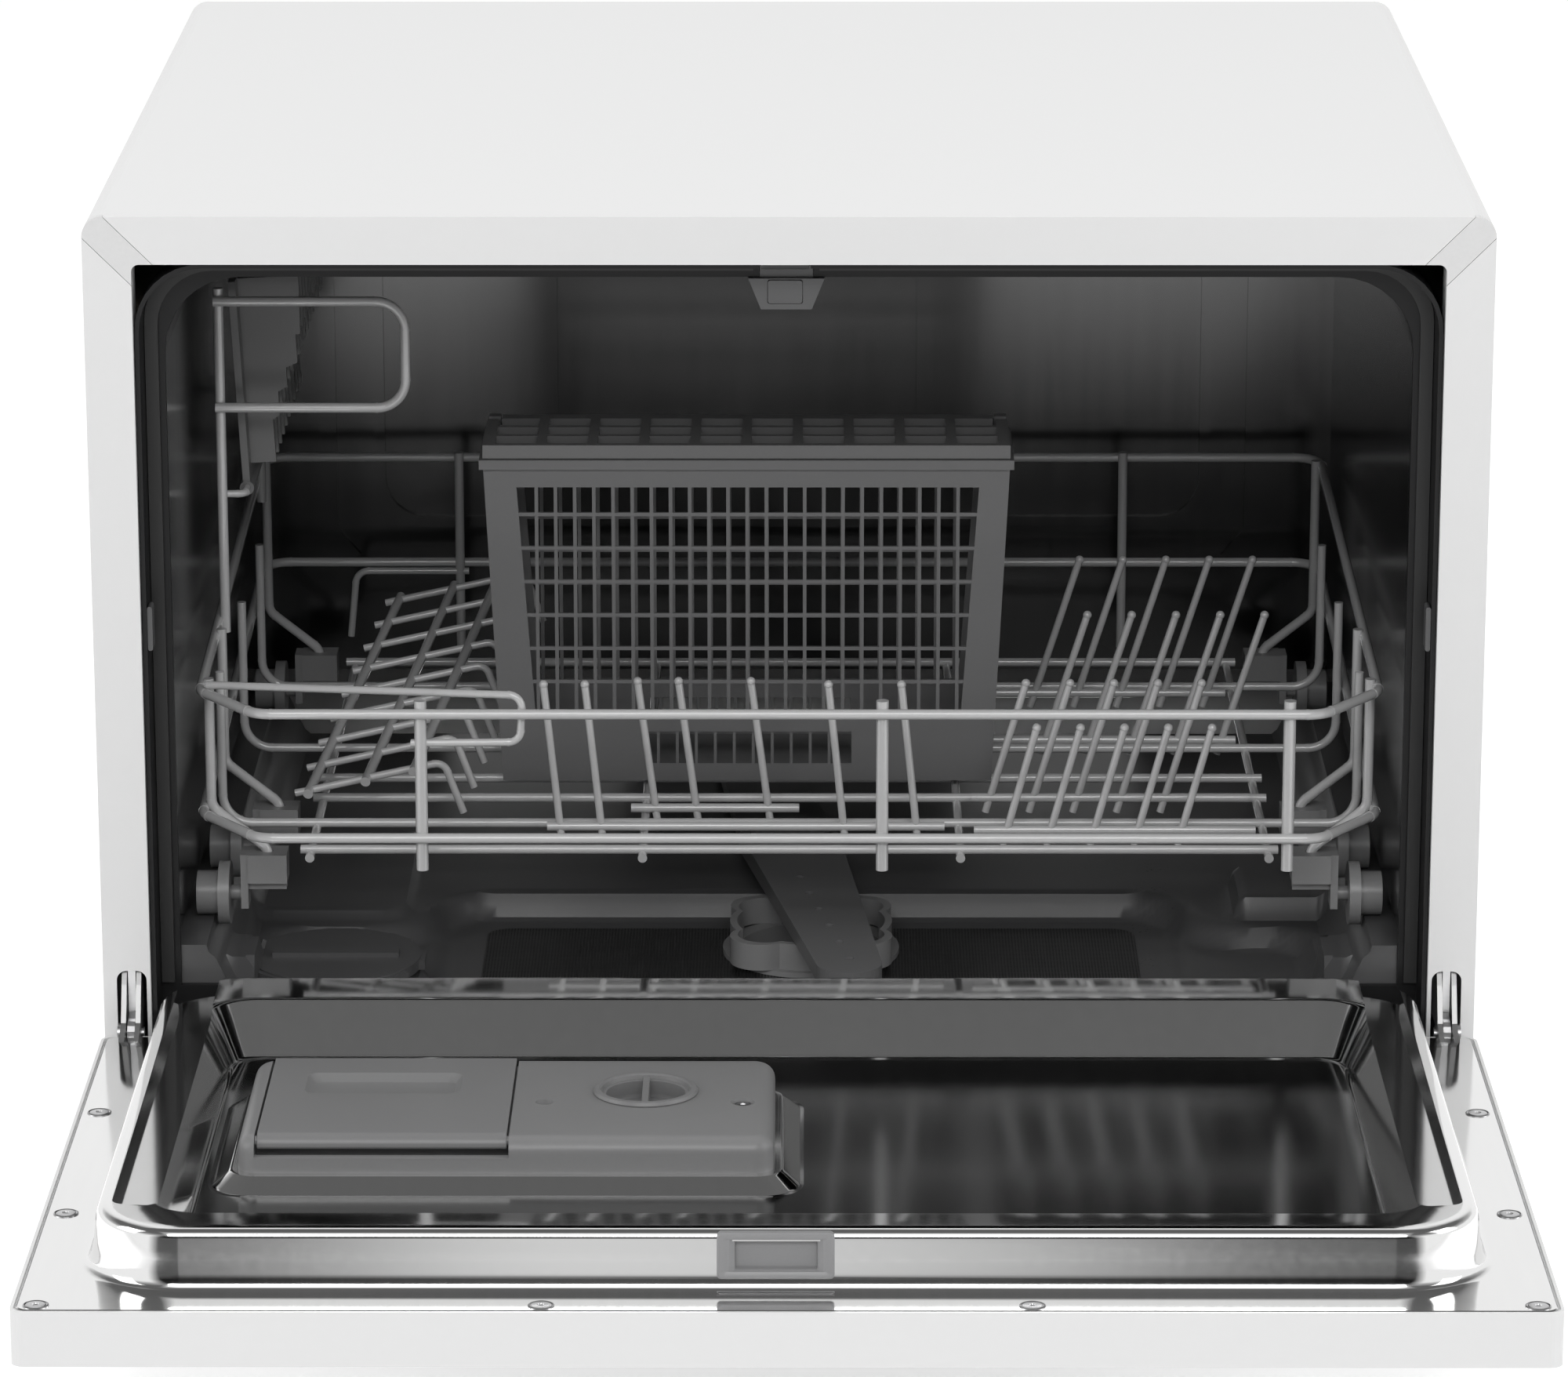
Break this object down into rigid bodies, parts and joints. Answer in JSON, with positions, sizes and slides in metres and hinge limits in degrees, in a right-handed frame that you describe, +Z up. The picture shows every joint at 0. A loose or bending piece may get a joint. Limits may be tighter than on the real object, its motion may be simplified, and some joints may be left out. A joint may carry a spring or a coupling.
{
  "type": "countertop dishwasher",
  "caption": "Compact countertop dishwasher with a drop-down door, wheeled wire dish basket, cutlery basket, spray arm, filter and detergent dispenser.",
  "frame": {"origin": "on the table, under the middle of the whole with the door open", "axes": "+Z up, +Y from the open door towards the back, +X to the right as seen from the door"},
  "size_m": [0.55, 0.8268, 0.438],
  "materials": {
    "white_paint": "satin",
    "white_plastic": "satin",
    "grey_plastic": "satin",
    "dark_plastic": "satin",
    "tinted_window": "gloss",
    "board": "satin",
    "stainless": "brushed",
    "zinc": "satin",
    "rubber": "matte",
    "coated_wire": "satin",
    "basket_plastic": "satin",
    "lid_plastic": "satin",
    "ivory_plastic": "satin"
  },
  "bodies": {
    "cabinet": {"cabinet_wrap": "white_paint", "corner_inserts": "white_plastic", "rear_panel": "white_paint", "base_tray": "dark_plastic", "levelling_feet": "dark_plastic", "control_panel": "white_plastic", "display_window": "tinted_window", "control_board": "board", "tub_frame": "dark_plastic", "door_gasket": "rubber", "tub_shell": "stainless", "tub_floor": "dark_plastic", "microfilter_plate": "stainless", "sump": "dark_plastic", "circulation_pump": "dark_plastic", "drain_pump": "dark_plastic", "softener_tank": "ivory_plastic", "air_break": "ivory_plastic", "inlet_valve": "ivory_plastic", "drain_spigot": "grey_plastic", "cord_gland": "dark_plastic", "latch_housing": "grey_plastic", "side_buffers": "grey_plastic", "hinge_brackets": "zinc", "hinge_pins": "zinc"},
    "door": {"door_panel": "white_paint", "door_grip": "white_plastic", "door_liner": "stainless", "liner_screws": "zinc", "strike_frame": "grey_plastic", "hinge_arms": "zinc", "dispenser_bezel": "stainless", "dispenser_body": "basket_plastic"},
    "basket": {"basket_frame": "coated_wire", "basket_legs": "coated_wire", "basket_floor": "coated_wire", "basket_stringers": "coated_wire", "plate_tines": "coated_wire", "bowl_rack": "coated_wire", "glass_rail": "coated_wire", "wheel_brackets": "basket_plastic"},
    "detergent_lid": {"detergent_lid": "lid_plastic"},
    "rinse_cap": {"rinse_cap": "lid_plastic"},
    "cutlery": {"cutlery_basket": "basket_plastic"},
    "cutlery_lid": {"cutlery_lid": "lid_plastic"},
    "cup_shelf": {"cup_shelf": "lid_plastic"},
    "spray_arm": {"spray_arm": "basket_plastic"},
    "filter_cup": {"filter_cup": "basket_plastic"},
    "salt_cap": {"salt_cap": "dark_plastic"},
    "latch_hook": {"latch_hook": "zinc"},
    "latch_plunger": {"latch_plunger": "grey_plastic"},
    "power_button": {"power_button": "grey_plastic"},
    "program_button": {"program_button": "grey_plastic"},
    "start_button": {"start_button": "grey_plastic"},
    "wheel_front_left": {"wheel_front_left": "basket_plastic"},
    "wheel_front_right": {"wheel_front_right": "basket_plastic"},
    "wheel_middle_left": {"wheel_middle_left": "basket_plastic"},
    "wheel_middle_right": {"wheel_middle_right": "basket_plastic"},
    "wheel_rear_left": {"wheel_rear_left": "basket_plastic"},
    "wheel_rear_right": {"wheel_rear_right": "basket_plastic"}
  },
  "joints": [
    {"name": "door_hinge", "type": "hinge", "parent": "cabinet", "child": "door", "pos_m": [0, -0.07955, 0.1045], "axis": [1, 0, 0], "range_deg": [-88.5, 0]},
    {"name": "detergent_lid_hinge", "type": "hinge", "parent": "door", "child": "detergent_lid", "pos_m": [-0.151, -0.27348, 0.12879], "axis": [-1, 0, 0], "range_deg": [-100, 0]},
    {"name": "rinse_cap_turn", "type": "hinge", "parent": "door", "child": "rinse_cap", "pos_m": [-0.054, -0.22405, 0.1253], "axis": [0, 0.0262, 0.9997], "range_deg": [0, 90]},
    {"name": "basket_slide", "type": "slide", "parent": "cabinet", "child": "basket", "axis": [0, -1, 0], "range_m": [0, 0.3]},
    {"name": "cutlery_lift", "type": "slide", "parent": "basket", "child": "cutlery", "axis": [0, 0, 1], "range_m": [0, 0.06]},
    {"name": "cutlery_lid_hinge", "type": "hinge", "parent": "cutlery", "child": "cutlery_lid", "pos_m": [-0.018, 0.13445, 0.3053], "axis": [-1, 0, 0], "range_deg": [0, 88]},
    {"name": "cup_shelf_hinge", "type": "hinge", "parent": "basket", "child": "cup_shelf", "pos_m": [-0.227, 0.17245, 0.288], "axis": [0, 1, 0], "range_deg": [0, 85]},
    {"name": "spray_arm_spin", "type": "hinge", "parent": "cabinet", "child": "spray_arm", "pos_m": [0, 0.14345, 0.115], "axis": [0, 0, 1], "continuous": true},
    {"name": "filter_turn", "type": "hinge", "parent": "cabinet", "child": "filter_cup", "pos_m": [0.009, 0.05045, 0.09], "axis": [0, 0, 1], "range_deg": [0, 90]},
    {"name": "salt_cap_turn", "type": "hinge", "parent": "cabinet", "child": "salt_cap", "pos_m": [-0.187, -0.00155, 0.105], "axis": [0, 0, 1], "range_deg": [0, 90]},
    {"name": "latch_hook_slide", "type": "slide", "parent": "cabinet", "child": "latch_hook", "axis": [0, 0, 1], "range_m": [0, 0.003], "stiffness_N_per_m": 400},
    {"name": "latch_plunger_slide", "type": "slide", "parent": "cabinet", "child": "latch_plunger", "axis": [0, 1, 0], "range_m": [0, 0.004], "stiffness_N_per_m": 300},
    {"name": "power_button_press", "type": "slide", "parent": "cabinet", "child": "power_button", "axis": [0, 1, 0], "range_m": [0, 0.0015], "stiffness_N_per_m": 600},
    {"name": "program_button_press", "type": "slide", "parent": "cabinet", "child": "program_button", "axis": [0, 1, 0], "range_m": [0, 0.0015], "stiffness_N_per_m": 600},
    {"name": "start_button_press", "type": "slide", "parent": "cabinet", "child": "start_button", "axis": [0, 1, 0], "range_m": [0, 0.0015], "stiffness_N_per_m": 600},
    {"name": "wheel_front_left_roll", "type": "hinge", "parent": "basket", "child": "wheel_front_left", "pos_m": [-0.236, -0.00855, 0.1412], "axis": [1, 0, 0], "continuous": true},
    {"name": "wheel_front_right_roll", "type": "hinge", "parent": "basket", "child": "wheel_front_right", "pos_m": [0.236, -0.00855, 0.1412], "axis": [1, 0, 0], "continuous": true},
    {"name": "wheel_middle_left_roll", "type": "hinge", "parent": "basket", "child": "wheel_middle_left", "pos_m": [-0.236, 0.05545, 0.1412], "axis": [1, 0, 0], "continuous": true},
    {"name": "wheel_middle_right_roll", "type": "hinge", "parent": "basket", "child": "wheel_middle_right", "pos_m": [0.236, 0.05545, 0.1412], "axis": [1, 0, 0], "continuous": true},
    {"name": "wheel_rear_left_roll", "type": "hinge", "parent": "basket", "child": "wheel_rear_left", "pos_m": [-0.236, 0.29545, 0.1412], "axis": [1, 0, 0], "continuous": true},
    {"name": "wheel_rear_right_roll", "type": "hinge", "parent": "basket", "child": "wheel_rear_right", "pos_m": [0.236, 0.29545, 0.1412], "axis": [1, 0, 0], "continuous": true}
  ],
  "couplings": [
    {"joint": "wheel_front_left_roll", "follows": "basket_slide", "rad_per_m": 111.11},
    {"joint": "wheel_front_right_roll", "follows": "basket_slide", "rad_per_m": 111.11},
    {"joint": "wheel_middle_left_roll", "follows": "basket_slide", "rad_per_m": 111.11},
    {"joint": "wheel_middle_right_roll", "follows": "basket_slide", "rad_per_m": 111.11},
    {"joint": "wheel_rear_left_roll", "follows": "basket_slide", "rad_per_m": 111.11},
    {"joint": "wheel_rear_right_roll", "follows": "basket_slide", "rad_per_m": 111.11}
  ]
}
